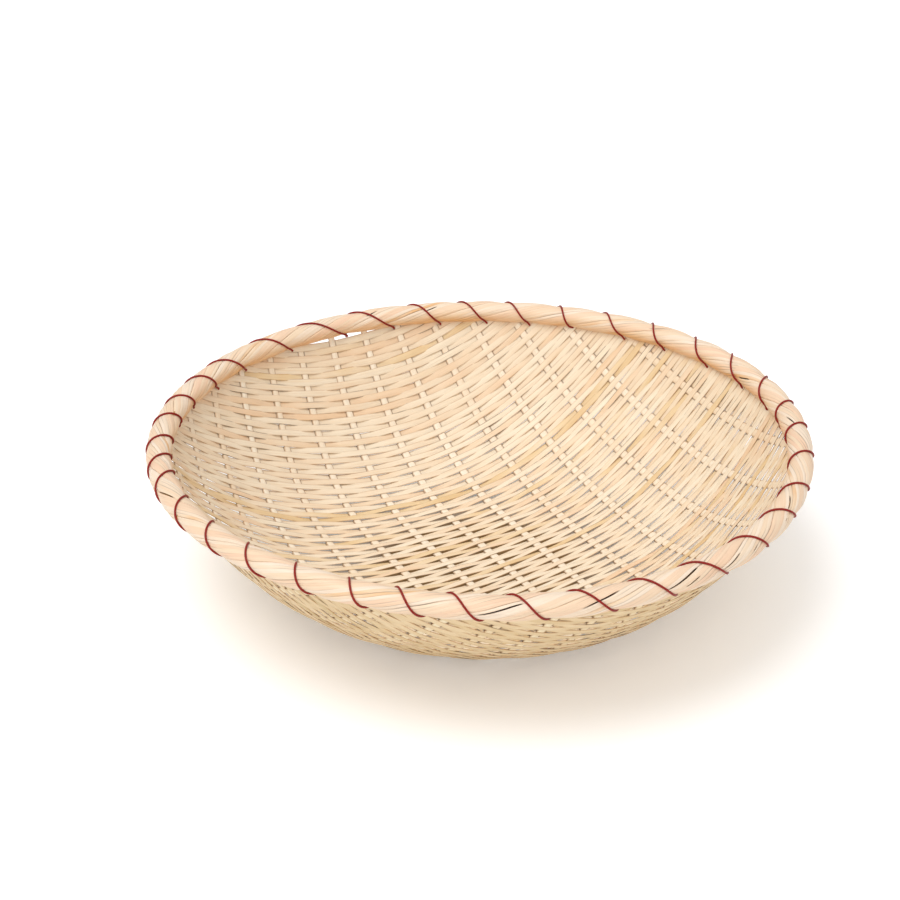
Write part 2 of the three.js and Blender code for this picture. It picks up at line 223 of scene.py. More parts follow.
# Seams of the rope that gape in the photograph: both ends of each, and the width of the gap in pixels
CRACK_PIXELS = (
    ((477.6, 616.3), (522.4, 601.9), 3.0), ((584.0, 610.0), (619.7, 589.4), 1.6),
    ((671.0, 589.0), (698.0, 567.5), 4.0), ((726.5, 568.7), (739.0, 551.5), 2.4),
    ((424.0, 308.4), (437.8, 306.0), 1.4), ((366.6, 314.0), (377.0, 310.7), 1.4),
    ((651.0, 326.0), (671.0, 330.0), 1.2), ((737.0, 377.0), (748.0, 380.0), 1.2),
    ((786.0, 416.0), (793.0, 423.0), 1.4), ((787.0, 494.0), (789.0, 506.0), 2.8),
    ((158.0, 491.0), (175.0, 496.0), 1.2), ((688.0, 586.6), (700.4, 579.8), 2.4),
    ((754.8, 550.3), (758.2, 544.6), 2.8), ((786.5, 514.0), (788.1, 525.4), 1.8),
)
WIDEST_CRACK = max(width for _, _, width in CRACK_PIXELS)
CRACK_WIDTH = WIDEST_CRACK * CAMERA_DISTANCE / FOCAL_PIXELS

# The grid of places on the rope that pixels are matched with
HEADING_STEP = 0.25  # degrees
TURN_STEP = 2 * DEGREE
LAST_SEEN_TURN = 330 * DEGREE
WIRE_OVERHANG = 12  # rows of turns that the wire, proud of the rope, shows past the rope's outlines

# Edges sharper than these are shaded sharp
SHARP_ANGLE = 50 * DEGREE
SHARP_ROPE_ANGLE = 75 * DEGREE


# The bowl's profile

def wall_rise(radius):
    return BOWL_DEPTH * (np.maximum(radius - FOOT_RADIUS, 0) / WALL_RUN) ** WALL_POWER


def wall_slope(radius):
    share = np.maximum(radius - FOOT_RADIUS, 0) / WALL_RUN
    return BOWL_DEPTH * WALL_POWER / WALL_RUN * share ** (WALL_POWER - 1)


PROFILE_RADII = np.linspace(0, RIM_RADIUS, PROFILE_POINTS)
PROFILE_STEPS = np.hypot(np.diff(PROFILE_RADII), np.diff(wall_rise(PROFILE_RADII)))
PROFILE_ARCS = np.concatenate([[0], np.cumsum(PROFILE_STEPS)])
MAT_EDGE = PROFILE_ARCS[-1] - ROPE_RADIUS - CLEARANCE
STAKE_PITCH = 2 * MAT_EDGE * STAKE_SPREAD_SHARE / (STAKE_COUNT - 1)
WALL_ANGLE = math.atan(wall_slope(RIM_RADIUS))


def place_round(heading, radius, height):
    """A place in the bowl, moved as the rim wanders: not at all on the foot and fully at the rim."""
    share = (np.maximum(radius - FOOT_RADIUS, 0) / WALL_RUN) ** 2
    for row in RIM_WANDER:
        cosine = np.cos(row["waves"] * heading)
        sine = np.sin(row["waves"] * heading)
        radius = radius + share * (row["out"][0] * cosine + row["out"][1] * sine)
        height = height + share * (row["up"][0] * cosine + row["up"][1] * sine)
    return np.stack([radius * np.cos(heading), radius * np.sin(heading), height], axis=-1)


def mat_points(u, v, level):
    """Places on the mat, level metres above its middle surface on the inner side."""
    radius = np.interp(np.hypot(u, v), PROFILE_ARCS, PROFILE_RADII)
    slope = wall_slope(radius)
    length = np.hypot(1, slope)
    height = MAT_HALF_THICKNESS + wall_rise(radius) + level / length
    return place_round(np.arctan2(v, u), radius - level * slope / length, height)


def swayed(u, v):
    """A place in the ruled weave, moved as the weave is pulled out of square."""
    share = (v / MAT_EDGE) ** 2
    lift = COURSE_LIFT + COURSE_LIFT_MIDDLE / (1 + (v / COURSE_LIFT_REACH) ** 2)
    wave = np.sin(TURN * (u - COURSE_LIFT_START - COURSE_LIFT_LEAN * v) / COURSE_LIFT_WAVE)
    spread = STAKE_SPREAD * (1 - np.exp(-((u / STAKE_SPREAD_START) ** 2)))
    moved_u = u + (STAKE_BOW - STAKE_FAN * u) * share + spread * (1 - share)
    return moved_u, v + lift * wave * (1 - share**3)


def stake_u(index):
    return (index - (STAKE_COUNT - 1) / 2) * STAKE_PITCH


def course_v(index):
    return (index - (COURSE_COUNT - 1) / 2) * COURSE_PITCH


def rim_points(heading, turn, distance):
    """Places round the rope: turn is the angle round its section, from the line down the wall inwards."""
    angle = math.pi + WALL_ANGLE - turn
    radius = RIM_RADIUS + ROPE_WIDE * distance * np.cos(angle)
    height = RIM_HEIGHT + ROPE_TALL * distance * np.sin(angle)
    return place_round(heading, radius, height)


# Camera

def add_camera():
    """The photograph's view. The camera faces the rim's middle, then turns until that is on its pixel."""
    data = bpy.data.cameras.new("camera")
    data.sensor_width = SENSOR_WIDTH
    data.lens = SENSOR_WIDTH * FOCAL_PIXELS / PHOTO_SIDE
    data.clip_start = NEAREST_SEEN
    data.clip_end = FARTHEST_SEEN
    made = bpy.data.objects.new("camera", data)
    bpy.context.scene.collection.objects.link(made)
    back = Vector((
        math.sin(CAMERA_AZIMUTH) * math.cos(CAMERA_ELEVATION),
        -math.cos(CAMERA_AZIMUTH) * math.cos(CAMERA_ELEVATION),
        math.sin(CAMERA_ELEVATION),
    ))
    turn = (-back).to_track_quat("-Z", "Y").to_matrix()
    off_x = (RIM_CENTRE_PIXEL[0] - PHOTO_SIDE / 2) / FOCAL_PIXELS
    off_y = (PHOTO_SIDE / 2 - RIM_CENTRE_PIXEL[1]) / FOCAL_PIXELS
    nudge = Matrix.Rotation(math.atan(off_x), 3, "Y") @ Matrix.Rotation(-math.atan(off_y), 3, "X")
    roll = Matrix.Rotation(CAMERA_ROLL, 3, "Z")
    place = Vector((0, 0, RIM_HEIGHT)) + back * CAMERA_DISTANCE
    made.matrix_world = Matrix.Translation(place) @ (turn @ nudge @ roll).to_4x4()
    bpy.context.scene.camera = made
    return made


camera = add_camera()
CAMERA_AXES = np.array(camera.matrix_world)[:3, :3]
CAMERA_PLACE = np.array(camera.matrix_world)[:3, 3]


def photo_pixels(points):
    """Where places land in the photograph."""
    seen = (points - CAMERA_PLACE) @ CAMERA_AXES
    across = PHOTO_SIDE / 2 - FOCAL_PIXELS * seen[..., 0] / seen[..., 2]
    down = PHOTO_SIDE / 2 + FOCAL_PIXELS * seen[..., 1] / seen[..., 2]
    return np.stack([across, down], axis=-1)


# Meshes from grids of points

def wander(length, rng, waves=3):
    """A smooth random curve of about unit height: a function of a place along a piece, in metres."""
    sizes = length * rng.uniform(*WANDER_LENGTHS, waves)
    phases = rng.uniform(0, TURN, waves)

    def value(place):
        return sum(np.sin(place * TURN / s + p) for s, p in zip(sizes, phases)) / math.sqrt(waves)

    return value


class Shell:
    """Collects tubes of rings into one mesh, with UV lengths in metres and a few numbers at each vertex."""

    def __init__(self):
        self.points = []
        self.faces = []
        self.uvs = []
        self.values = []
        self.count = 0

    def tube(self, rings, along, across, values, closed=False):
        """rings is (n, m, 3); along (n, m) and across (m + 1) are UV lengths; values is {name: (n, m)}."""
        n, m = rings.shape[:2]
        self.points.append(rings.reshape(-1, 3))
        self.values.append({key: np.broadcast_to(value, (n, m)).ravel() for key, value in values.items()})
        here = np.arange(n * m).reshape(n, m)
        if closed:
            here = np.concatenate([here, here[:1]])
            along = np.concatenate([along, along[-1:] + (along[-1:] - along[-2:-1])])
        aside = np.roll(here, -1, axis=1)
        quads = np.stack([here[:-1], aside[:-1], aside[1:], here[1:]], axis=-1).reshape(-1, 4)
        self.faces.extend((quads + self.count).tolist())
        wide = np.concatenate([along, along[:, :1]], axis=1)
        corner_u = np.stack([wide[:-1, :-1], wide[:-1, 1:], wide[1:, 1:], wide[1:, :-1]], axis=-1)
        left = np.broadcast_to(across[:-1], (len(here) - 1, m))
        right = np.broadcast_to(across[1:], (len(here) - 1, m))
        corner_v = np.stack([left, right, right, left], axis=-1)
        self.uvs.append(np.stack([corner_u, corner_v], axis=-1).reshape(-1, 2))
        if not closed:
            self.cap(here[0][::-1], along[0][::-1], across[:-1][::-1])
            self.cap(here[-1], along[-1], across[:-1])
        self.count += n * m

    def cap(self, corners, along, across):
        self.faces.append((corners + self.count).tolist())
        self.uvs.append(np.stack([along, across], axis=-1))

    def piece(self, name, material, node, sharp=SHARP_ANGLE):
        """The finished piece, which rides the root body and stands for one node of the solids."""
        mesh = bpy.data.meshes.new(name)
        mesh.from_pydata(np.concatenate(self.points).tolist(), [], self.faces)
        layer = mesh.uv_layers.new(name="lengths")
        layer.data.foreach_set("uv", np.concatenate(self.uvs).ravel())
        for key in self.values[0]:
            attribute = mesh.attributes.new(key, "FLOAT", "POINT")
            attribute.data.foreach_set("value", np.concatenate([row[key] for row in self.values]))
        mesh.polygons.foreach_set("use_smooth", np.ones(len(mesh.polygons), bool))
        mesh.set_sharp_from_angle(angle=sharp)
        mesh.materials.append(material)
        made = bpy.data.objects.new(name, mesh)
        bpy.context.scene.collection.objects.link(made)
        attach(made, "root")
        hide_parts(node)


def split_section(width, thickness, crown):
    """A split's section as (across, up) points, with rounded edges and a crowned upper side."""
    side = width / 2
    flat = thickness / 2
    inset = side - EDGE_ROUNDING * width
    half = [
        (inset, -flat),
        (side, -EDGE_FLAT * flat),
        (side, EDGE_FLAT * flat),
        (inset, SHOULDER_HEIGHT * flat),
        (side / 2, flat + crown * HALFWAY_CROWN),
    ]
    return np.array(half + [(0, flat + crown)] + [(-x, y) for x, y in reversed(half)])


def section_across(section):
    """Lengths round a section, one more than its points."""
    loop = np.concatenate([section, section[:1]])
    return np.concatenate([[0], np.cumsum(np.hypot(*np.diff(loop, axis=0).T))])


def outer_side(section):
    """1 on a section's lower side, which faces out of the bowl, and 0 on its upper side."""
    return (section[:, 1] < 0).astype(float)


def section_edge(section):
    """1 on the cut edges of a section and 0 on its flat sides."""
    return (np.abs(section[:, 0]) > EDGE_START * section[:, 0].max()).astype(float)


# Colours

def picture_colour(code):
    """A colour of a picture, written in hexadecimal, as the share of light that a shader takes."""
    shares = [int(code[place:place + 2], 16) / 255 for place in (0, 2, 4)]
    return tuple(((share + 0.055) / 1.055) ** 2.4 for share in shares)


CREAM = picture_colour("f3ddbf")
PEACH = picture_colour("f1cfaa")
PALE = picture_colour("f7e7cd")
STRAW = picture_colour("edd1a5")
HONEY = picture_colour("e6c593")
OUTER_CREAM = picture_colour("efd7af")
OUTER_STRAW = picture_colour("e2c799")
OUTER_OLIVE = picture_colour("ceb885")
OUTER_PALE = picture_colour("f6e6c4")
STAKE_PALE = picture_colour("fbeed8")
RIM_CREAM = picture_colour("f3d9ba")
RIM_PINK = picture_colour("f3ceaf")
RIM_PALE = picture_colour("f6e2cc")
RIM_TAN = picture_colour("ecbb86")
RIM_AMBER = picture_colour("e9b277")
RIM_HONEY = picture_colour("f0c48f")
TAN = picture_colour("c08c50")
FIBRE = picture_colour("b07a3e")
# Dark brown for stains, for painted shade in the rope's seams, cracks and inner sides, and as the hoop's
# darkest tone
DARK_BROWN = picture_colour("4a2c14")
# The colour of the shade painted on the weavers beside the stakes
SHADE = picture_colour("5c3716")
WIRE_RED = (0.27, 0.02, 0.014)
WIRE_WORN = (0.36, 0.035, 0.02)

# The tones that splits are picked from, as places from 0 to 1 and colours. Outer ones face out of the bowl.
WEAVER_TONES = [(0.0, PEACH), (0.25, CREAM), (0.5, PALE), (0.72, CREAM), (0.88, STRAW), (1.0, HONEY)]
OUTER_TONES = [
    (0.0, OUTER_CREAM),
    (0.3, OUTER_STRAW),
    (0.6, OUTER_CREAM),
    (0.85, OUTER_STRAW),
    (1.0, OUTER_OLIVE),
]
STAKE_TONES = [(0.0, CREAM), (0.5, STAKE_PALE), (1.0, CREAM)]
OUTER_STAKE_TONES = [(0.0, OUTER_PALE), (0.5, OUTER_CREAM), (1.0, OUTER_PALE)]
RIM_TONES = [(0.0, RIM_PINK), (0.35, RIM_CREAM), (0.7, RIM_PALE), (0.9, RIM_CREAM), (1.0, RIM_TAN)]
# The rope's amber tones paint shade and reflected warm light on its lower inner side
RIM_AMBER_TONES = [(0.0, RIM_AMBER), (0.5, RIM_HONEY), (1.0, RIM_AMBER)]
HOOP_TONES = [(0, TAN), (1, DARK_BROWN)]

# Bamboo: grain along a split and across it, in waves a metre, and the bands of a noise in which it shows
FIBRE_GRAIN = (35, 5200)
STREAK_GRAIN = (9, 900)
PATCH_GRAIN = (22, 60)
GRAIN_OFFSET = 37  # gives splits of different tones a different grain
FIBRE_DETAIL = 3
FIBRE_ROUGHNESS = 0.6
MIDDLE_BAND = (0.3, 0.7)
FIBRE_BAND = (0.52, 0.75)
STREAK_BAND = (0.55, 0.8)
PATCH_TONE = 0.14
GLOSS_SPREAD = (-0.06, 0.1)
BAMBOO_SPECULAR = 0.42
STREAK_BUMP = 1.5
BUMP_STRENGTH = 0.35
BUMP_HEIGHT = 0.12 * MM

# Painted shade on the weavers beside the stakes, outside the bowl and inside
OUTER_REACH = 1.2 * MM
OUTER_SHADE = 1
INNER_REACH = 0.45 * MM
INNER_SHADE = 0.6

# Coated wire
WIRE_PATCHES = 160  # waves a metre
WIRE_DETAIL = 3
WORN_BAND = (0.58, 0.75)
WORN_SHARE = 0.5
WIRE_ROUGHNESS = (0.28, 0.45)
WIRE_SPECULAR = 0.2

# Sockets of Blender's mix node that carry colours
MIX_FIRST = 6
MIX_SECOND = 7
MIX_RESULT = 2


# Materials

class Graph:
    """Short words for the nodes of one material."""

    def __init__(self, name):
        self.material = bpy.data.materials.new(name)
        self.material.use_nodes = True
        self.nodes = self.material.node_tree.nodes
        self.links = self.material.node_tree.links
        self.shader = self.nodes["Principled BSDF"]

    def feed(self, socket, value):
        if isinstance(value, bpy.types.NodeSocket):
            self.links.new(value, socket)
        else:
            socket.default_value = value

    def attribute(self, name):
        node = self.nodes.new("ShaderNodeAttribute")
        node.attribute_name = name
        return node.outputs["Fac"]

    def math(self, operation, first, second=0.0, clamp=False):
        node = self.nodes.new("ShaderNodeMath")
        node.operation = operation
        node.use_clamp = clamp
        self.feed(node.inputs[0], first)
        self.feed(node.inputs[1], second)
        return node.outputs[0]

    def between(self, value, low, high, to_low=0.0, to_high=1.0):
        """A value's place from low to high, as a number from to_low to to_high."""
        node = self.nodes.new("ShaderNodeMapRange")
        self.feed(node.inputs["Value"], value)
        node.inputs["From Min"].default_value = low
        node.inputs["From Max"].default_value = high
        node.inputs["To Min"].default_value = to_low
        node.inputs["To Max"].default_value = to_high
        return node.outputs["Result"]

    def uv_lengths(self):
        node = self.nodes.new("ShaderNodeUVMap")
        node.uv_map = "lengths"
        return node.outputs[0]

    def grain(self, waves, offset):
        """UV lengths stretched by waves a metre, along and across, and moved by a number."""
        stretch = self.nodes.new("ShaderNodeVectorMath")
        stretch.operation = "MULTIPLY"
        self.links.new(self.uv_lengths(), stretch.inputs[0])
        stretch.inputs[1].default_value = (*waves, 0)
        spot = self.nodes.new("ShaderNodeCombineXYZ")
        self.feed(spot.inputs[2], offset)
        joined = self.nodes.new("ShaderNodeVectorMath")
        joined.operation = "ADD"
        self.links.new(stretch.outputs[0], joined.inputs[0])
        self.links.new(spot.outputs[0], joined.inputs[1])
        return joined.outputs[0]

    def noise(self, vector, scale=1.0, detail=2.0, roughness=0.5):
        node = self.nodes.new("ShaderNodeTexNoise")
        self.links.new(vector, node.inputs["Vector"])
        node.inputs["Scale"].default_value = scale
        node.inputs["Detail"].default_value = detail
        node.inputs["Roughness"].default_value = roughness
        return node.outputs["Fac"]

    def ramp(self, value, stops):
        """A colour picked from stops, which are pairs of a place from 0 to 1 and a colour."""
        node = self.nodes.new("ShaderNodeValToRGB")
        self.feed(node.inputs[0], value)
        elements = node.color_ramp.elements
        while len(elements) < len(stops):
            elements.new(0.5)
        for element, (place, colour) in zip(elements, stops):
            element.position = place
            element.color = (*colour, 1)
        return node.outputs["Color"]

    def mix(self, share, first, second):
        node = self.nodes.new("ShaderNodeMix")
        node.data_type = "RGBA"
        self.feed(node.inputs["Factor"], share)
        self.feed(node.inputs[MIX_FIRST], (*first, 1) if isinstance(first, tuple) else first)
        self.feed(node.inputs[MIX_SECOND], (*second, 1) if isinstance(second, tuple) else second)
        return node.outputs[MIX_RESULT]

    def bump(self, height, strength, distance):
        node = self.nodes.new("ShaderNodeBump")
        self.links.new(height, node.inputs["Height"])
        node.inputs["Strength"].default_value = strength
        node.inputs["Distance"].default_value = distance
        self.links.new(node.outputs[0], self.shader.inputs["Normal"])


def stake_edges(g, reach, share):
    """A share of painted shade on a weaver beside each stake's edges, where it comes out from behind the
    stake.

    It begins a reach inside the edge and is gone two reaches beyond it. The stakes lie at odd half pitches
    from the mat's middle.
    """
    parts = g.nodes.new("ShaderNodeSeparateXYZ")
    g.links.new(g.uv_lengths(), parts.inputs[0])
    phase = g.math("FRACT", g.math("DIVIDE", parts.outputs[0], STAKE_PITCH))
    apart = g.math("MULTIPLY", g.math("ABSOLUTE", g.math("SUBTRACT", phase, 0.5)), STAKE_PITCH)
    edge = STAKE_WIDTH / 2
    rising = g.between(apart, edge - reach, edge, 0, share)
    falling = g.between(apart, edge + reach / 2, edge + 2 * reach, 1, 0)
    return g.math("MULTIPLY", rising, falling)


def stake_shade(g):
    """Painted shade beside the stakes. The under attribute is positive outside the bowl and negative inside
    it.
    """
    under = g.attribute("under")
    outside = g.math("MULTIPLY", g.math("MAXIMUM", under, 0), stake_edges(g, OUTER_REACH, OUTER_SHADE))
    inside = g.math("MAXIMUM", g.math("MULTIPLY", under, -1), 0)
    inside = g.math("MULTIPLY", inside, stake_edges(g, INNER_REACH, INNER_SHADE))
    return g.math("ADD", outside, inside)


def bamboo_material(name, tones, outer_tones, fibre_share, gloss, shaded_by_stakes=False):
    """Bamboo whose fibres run along U.

    The tone attribute picks a split's colour, from outer_tones where the outer attribute is 1.
    """
    g = Graph(name)
    tone = g.attribute("tone")
    offset = g.math("MULTIPLY", tone, GRAIN_OFFSET)
    fibres = g.noise(g.grain(FIBRE_GRAIN, offset), detail=FIBRE_DETAIL, roughness=FIBRE_ROUGHNESS)
    streaks = g.noise(g.grain(STREAK_GRAIN, offset))
    patches = g.noise(g.grain(PATCH_GRAIN, offset))
    blended = g.math("ADD", tone, g.between(patches, *MIDDLE_BAND, -PATCH_TONE, PATCH_TONE), clamp=True)
    colour = g.mix(g.attribute("outer"), g.ramp(blended, tones), g.ramp(blended, outer_tones))
    colour = g.mix(g.between(fibres, *FIBRE_BAND, 0, fibre_share), colour, FIBRE)
    colour = g.mix(g.between(streaks, *STREAK_BAND, 0, fibre_share), colour, HONEY)
    # Painted shade in the creases between splits, as brown on their cut edges
    colour = g.mix(g.attribute("edge"), colour, FIBRE)
    # Stains, and painted shade in the rope's seams, cracks and inner sides
    colour = g.mix(g.attribute("stain_and_shade"), colour, DARK_BROWN)
    if shaded_by_stakes:
        # Painted shade beside the stakes, mixed into the weavers' colour
        colour = g.mix(stake_shade(g), colour, SHADE)
    g.links.new(colour, g.shader.inputs["Base Color"])
    rough = g.between(fibres, *MIDDLE_BAND, gloss + GLOSS_SPREAD[0], gloss + GLOSS_SPREAD[1])
    g.links.new(rough, g.shader.inputs["Roughness"])
    g.shader.inputs["Specular IOR Level"].default_value = BAMBOO_SPECULAR
    g.bump(g.math("ADD", fibres, g.math("MULTIPLY", streaks, STREAK_BUMP)), BUMP_STRENGTH, BUMP_HEIGHT)
    return g.material


def wire_material():
    g = Graph("coated_wire")
    position = g.nodes.new("ShaderNodeTexCoord").outputs["Object"]
    patches = g.noise(position, scale=WIRE_PATCHES, detail=WIRE_DETAIL)
    colour = g.mix(g.between(patches, *WORN_BAND, 0, WORN_SHARE), WIRE_RED, WIRE_WORN)
    g.links.new(colour, g.shader.inputs["Base Color"])
    g.links.new(g.between(patches, *MIDDLE_BAND, *WIRE_ROUGHNESS), g.shader.inputs["Roughness"])
    g.shader.inputs["Specular IOR Level"].default_value = WIRE_SPECULAR
    return g.material


weaver_bamboo = bamboo_material(
    "weaver_split_bamboo", WEAVER_TONES, OUTER_TONES, fibre_share=0.35, gloss=0.42, shaded_by_stakes=True
)
stake_bamboo = bamboo_material(
    "stake_split_bamboo", STAKE_TONES, OUTER_STAKE_TONES, fibre_share=0.3, gloss=0.45
)
rim_bamboo = bamboo_material("rim_shaved_bamboo", RIM_TONES, RIM_AMBER_TONES, fibre_share=0.3, gloss=0.4)
hoop_bamboo = bamboo_material("hoop_split_bamboo", HOOP_TONES, HOOP_TONES, fibre_share=0.6, gloss=0.6)
coated_wire = wire_material()


# Mat

def line_reach(line, side, edge):
    """How far a line of the weave runs to one side before it is past edge, found by halving."""
    near = 0
    far = LONGEST_REACH * edge
    for _ in range(HALVINGS):
        middle = (near + far) / 2
        inside = np.hypot(*swayed(*line(side * middle))) < edge
        near = np.where(inside, middle, near)
        far = np.where(inside, far, middle)
    return np.maximum(near, LEAST_REACH)


def run_of(line, steps):
    """Places along a line of the weave, from one end of it in the rope to the other."""
    first = -line_reach(line, -1, MAT_EDGE + TUCK)
    last = line_reach(line, 1, MAT_EDGE + TUCK)
    return first + (last - first) * np.linspace(0, 1, steps + 1)[:, None]


def make_stake(index):
    rng = np.random.default_rng(STAKE_SEED + index)
    section = split_section(STAKE_WIDTH, STAKE_THICKNESS, STAKE_CROWN)
    x, y = section.T
    sway = wander(STAKE_SWAY_LENGTH, rng)
    widening = wander(STAKE_WIDENING_LENGTH, rng)
    tilt = wander(STAKE_TILT_LENGTH, rng, STAKE_TILT_WAVES)
    u = stake_u(index)
    v = run_of(lambda place: (u + x, place), STAKE_STEPS)
    across = u + x * (1 + STAKE_WIDENING * widening(v)) + STAKE_SWAY * sway(v)
    level = y + STAKE_TILT * tilt(v) * x
    values = {
        "tone": rng.uniform(0, 1),
        "outer": outer_side(section),
        "edge": STAKE_EDGE_BROWN * section_edge(section),
        "stain_and_shade": 0.0,
    }
    rings = mat_points(*swayed(across, v), level)
    shell = Shell()
    shell.tube(rings, v + np.zeros_like(x), section_across(section), values)
    shell.piece(f"stake_split_{index + 1:02d}", stake_bamboo, f"stake_{index + 1:02d}")


def add_course(shell, course):
    """One course of a weaver: over a stake and under the next, and the courses beside it the other way."""
    rng = np.random.default_rng(WEAVER_SEED + course)
    section = split_section(WEAVER_WIDTH * rng.uniform(*WEAVER_WIDTHS), WEAVER_THICKNESS, WEAVER_CROWN)
    x, y = section.T
    sway = wander(WEAVER_SWAY_LENGTH, rng)
    widening = wander(WEAVER_WIDENING_LENGTH, rng)
    tilt = wander(WEAVER_TILT_LENGTH, rng)
    spots = wander(SPOT_LENGTH, rng)
    v = course_v(course)
    u = run_of(lambda place: (place, v + x), WEAVER_STEPS)
    parity = 1 if course % 2 == 0 else -1
    wave = np.cos(math.pi * (u - stake_u(0)) / STAKE_PITCH) * parity
    outward = (u**2 + v**2) / MAT_EDGE**2
    level = WEAVE_LEVEL * (1 - WALL_FLATNESS * outward) * wave + y + WEAVER_TILT * tilt(u) * x
    width = 1 + WALL_TIGHTNESS * outward + WEAVER_WIDENING * widening(u)
    across = v + x * width + WEAVER_SWAY * sway(u)
    first_brown = rng.uniform(*WEAVER_EDGE_BROWN)
    second_brown = rng.uniform(*WEAVER_EDGE_BROWN)
    outer = outer_side(section)
    edge = section_edge(section)
    # under places the painted shade beside the stakes, on whichever side the weaver passes behind a stake
    under = UNDER_GAIN * wave
    values = {
        "tone": rng.beta(WEAVER_TONE_BELL, WEAVER_TONE_BELL),
        "outer": outer,
        "edge": np.where(x > 0, first_brown, second_brown) * edge,
        "stain_and_shade": np.clip(SPOT_GAIN * spots(u) - SPOT_START, 0, SPOT_DARKNESS) * edge,
        "under": np.where(outer > 0, np.clip(under, 0, 1), np.clip(under, -1, 0)),
    }
    rings = mat_points(*swayed(u, across), level)
    shell.tube(rings, u + np.zeros_like(x), section_across(section), values)


def first_course(weaver):
    return math.floor(weaver * COURSE_COUNT / SPLIT_COUNT + 0.5)


def make_weaver(index):
    shell = Shell()
    for course in range(first_course(index), first_course(index + 1)):
        add_course(shell, course)
    shell.piece(f"weaver_split_{index + 1:02d}", weaver_bamboo, f"weaver_{index + 1:02d}")


# Lashing: where the wire crosses the rope and goes through the mat, from its places in the photograph

ROPE_HEADINGS = np.arange(0, 360, HEADING_STEP) * DEGREE
ROPE_TURNS = np.arange(WIRE_LEG_TURN, LAST_SEEN_TURN, TURN_STEP)


def rope_view():
    """A grid of places on the rope: where each lands in the photograph, and whether it faces the camera."""
    headings = ROPE_HEADINGS[:, None]
    turns = ROPE_TURNS[None, :]
    places = rim_points(headings, turns, ROPE_RADIUS + WIRE_RADIUS / 2)
    outward = rim_points(headings, turns, ROPE_RADIUS + 2 * WIRE_RADIUS) - places
    return photo_pixels(places), (outward * (CAMERA_PLACE - places)).sum(axis=-1) > 0


ROPE_PIXELS, ROPE_FACES = rope_view()
LAST_ROW = len(ROPE_TURNS) - 1
INNER_EDGES = np.maximum(ROPE_FACES.argmax(axis=1) - WIRE_OVERHANG, 0)
OUTER_EDGES = np.minimum(LAST_ROW - ROPE_FACES[:, ::-1].argmax(axis=1) + WIRE_OVERHANG, LAST_ROW)


def rope_place(pixel):
    """The heading and turn of the place on the rope's visible side that lands nearest to a pixel."""
    apart = np.hypot(ROPE_PIXELS[..., 0] - pixel[0], ROPE_PIXELS[..., 1] - pixel[1])
    row, column = np.unravel_index(np.where(ROPE_FACES, apart, np.inf).argmin(), apart.shape)
    return ROPE_HEADINGS[row], ROPE_TURNS[column]


def edge_place(pixel, edges):
    """The heading and turn of the place on one of the rope's outlines that lands nearest to a pixel."""
    pixels = ROPE_PIXELS[np.arange(len(edges)), edges]
    row = np.hypot(pixels[:, 0] - pixel[0], pixels[:, 1] - pixel[1]).argmin()
    return ROPE_HEADINGS[row], ROPE_TURNS[edges[row]]


def wrapped(angle):
    """An angle brought to within half a turn of zero."""
    return np.mod(angle + math.pi, TURN) - math.pi


def wire_crossing(outer, inner):
    """One turn of the wire: the heading of its hole, and the turn and heading of its outer end."""
    outer_heading, outer_turn = edge_place(outer, OUTER_EDGES)
    inner_heading, inner_turn = edge_place(inner, INNER_EDGES)
    slope = wrapped(outer_heading - inner_heading) / (outer_turn - inner_turn)
    start = inner_heading - slope * inner_turn
    return start, outer_turn, start + slope * outer_turn


STARTS, OUTER_TURNS, OUTER_HEADINGS = np.array([wire_crossing(*pair) for pair in WIRE_PIXELS]).T
ENDS = STARTS + np.mod(np.roll(STARTS, -1) - STARTS, TURN)


def wire_heading(index, turn):
    """The heading of a turn of the wire at a turn round the rope, on to the next turn's hole."""
    turns = (0, OUTER_TURNS[index], TURN)
    return np.interp(turn, turns, (STARTS[index], OUTER_HEADINGS[index], ENDS[index]))


def wire_hole(heading):
    """Flat (u, v) of a hole: close to the rope and beside the stakes."""
    arc = MAT_EDGE - SEWING_DEPTH
    u = arc * math.cos(heading)
    v = arc * math.sin(heading)
    room = STAKE_WIDTH / 2 + WIRE_RADIUS
    for index in range(STAKE_COUNT):
        stake = swayed(stake_u(index), v)[0]
        if abs(u - stake) < room:
            u = stake + math.copysign(room, u - stake)
    return u, v


def wire_nearness(heading, turn):
    """How close a place on the rope is to the wire: 1 under it, fading over some millimetres beside it."""
    near = np.zeros_like(heading)
    for index in range(len(WIRE_PIXELS)):
        apart = wrapped(heading - wire_heading(index, np.mod(turn, TURN))) * RIM_RADIUS
        near = np.maximum(near, np.exp(-((apart / SQUEEZE_REACH) ** 2)))
    return near


# Cracks in the rope

def crack_line(first, last, width):
    """A gaping seam: its middle heading, half its run, its angle without the rope's twist, and its size."""
    heading, turn = rope_place(first)
    last_heading, last_turn = rope_place(last)
    half_run = wrapped(last_heading - heading) / 2
    middle = heading + half_run
    angle = (turn + last_turn) / 2 + STRAND_TURNS * middle
    return middle, abs(half_run), angle, width / WIDEST_CRACK


CRACKS = [crack_line(*crack) for crack in CRACK_PIXELS]


def gape(heading, angle):
    """How far the seam at an untwisted angle is open: 0 where shut, up to 1 in the middle of a crack."""
    opening = np.zeros_like(heading)
    for middle, half_run, place, size in CRACKS:
        if abs(wrapped(angle - place)) <= SPLIT_ANGLE / 2:
            share = wrapped(heading - middle) / half_run
            opening = np.maximum(opening, size * np.sqrt(np.maximum(1 - share**2, 0)))
    return opening


# Rope

def seam_angles(reach, place, rng):
    """The seams between a strand's splits, as angles from its middle that stray a little along the rope."""
    angles = np.linspace(-reach, reach, SPLITS_PER_STRAND + 1)[None, :] + np.zeros_like(place)
    for inner in range(1, SPLITS_PER_STRAND):
        sway = wander(SEAM_SWAY_LENGTH, rng)
        angles[:, inner] += SEAM_SWAY * sway(place[:, 0])
    return angles


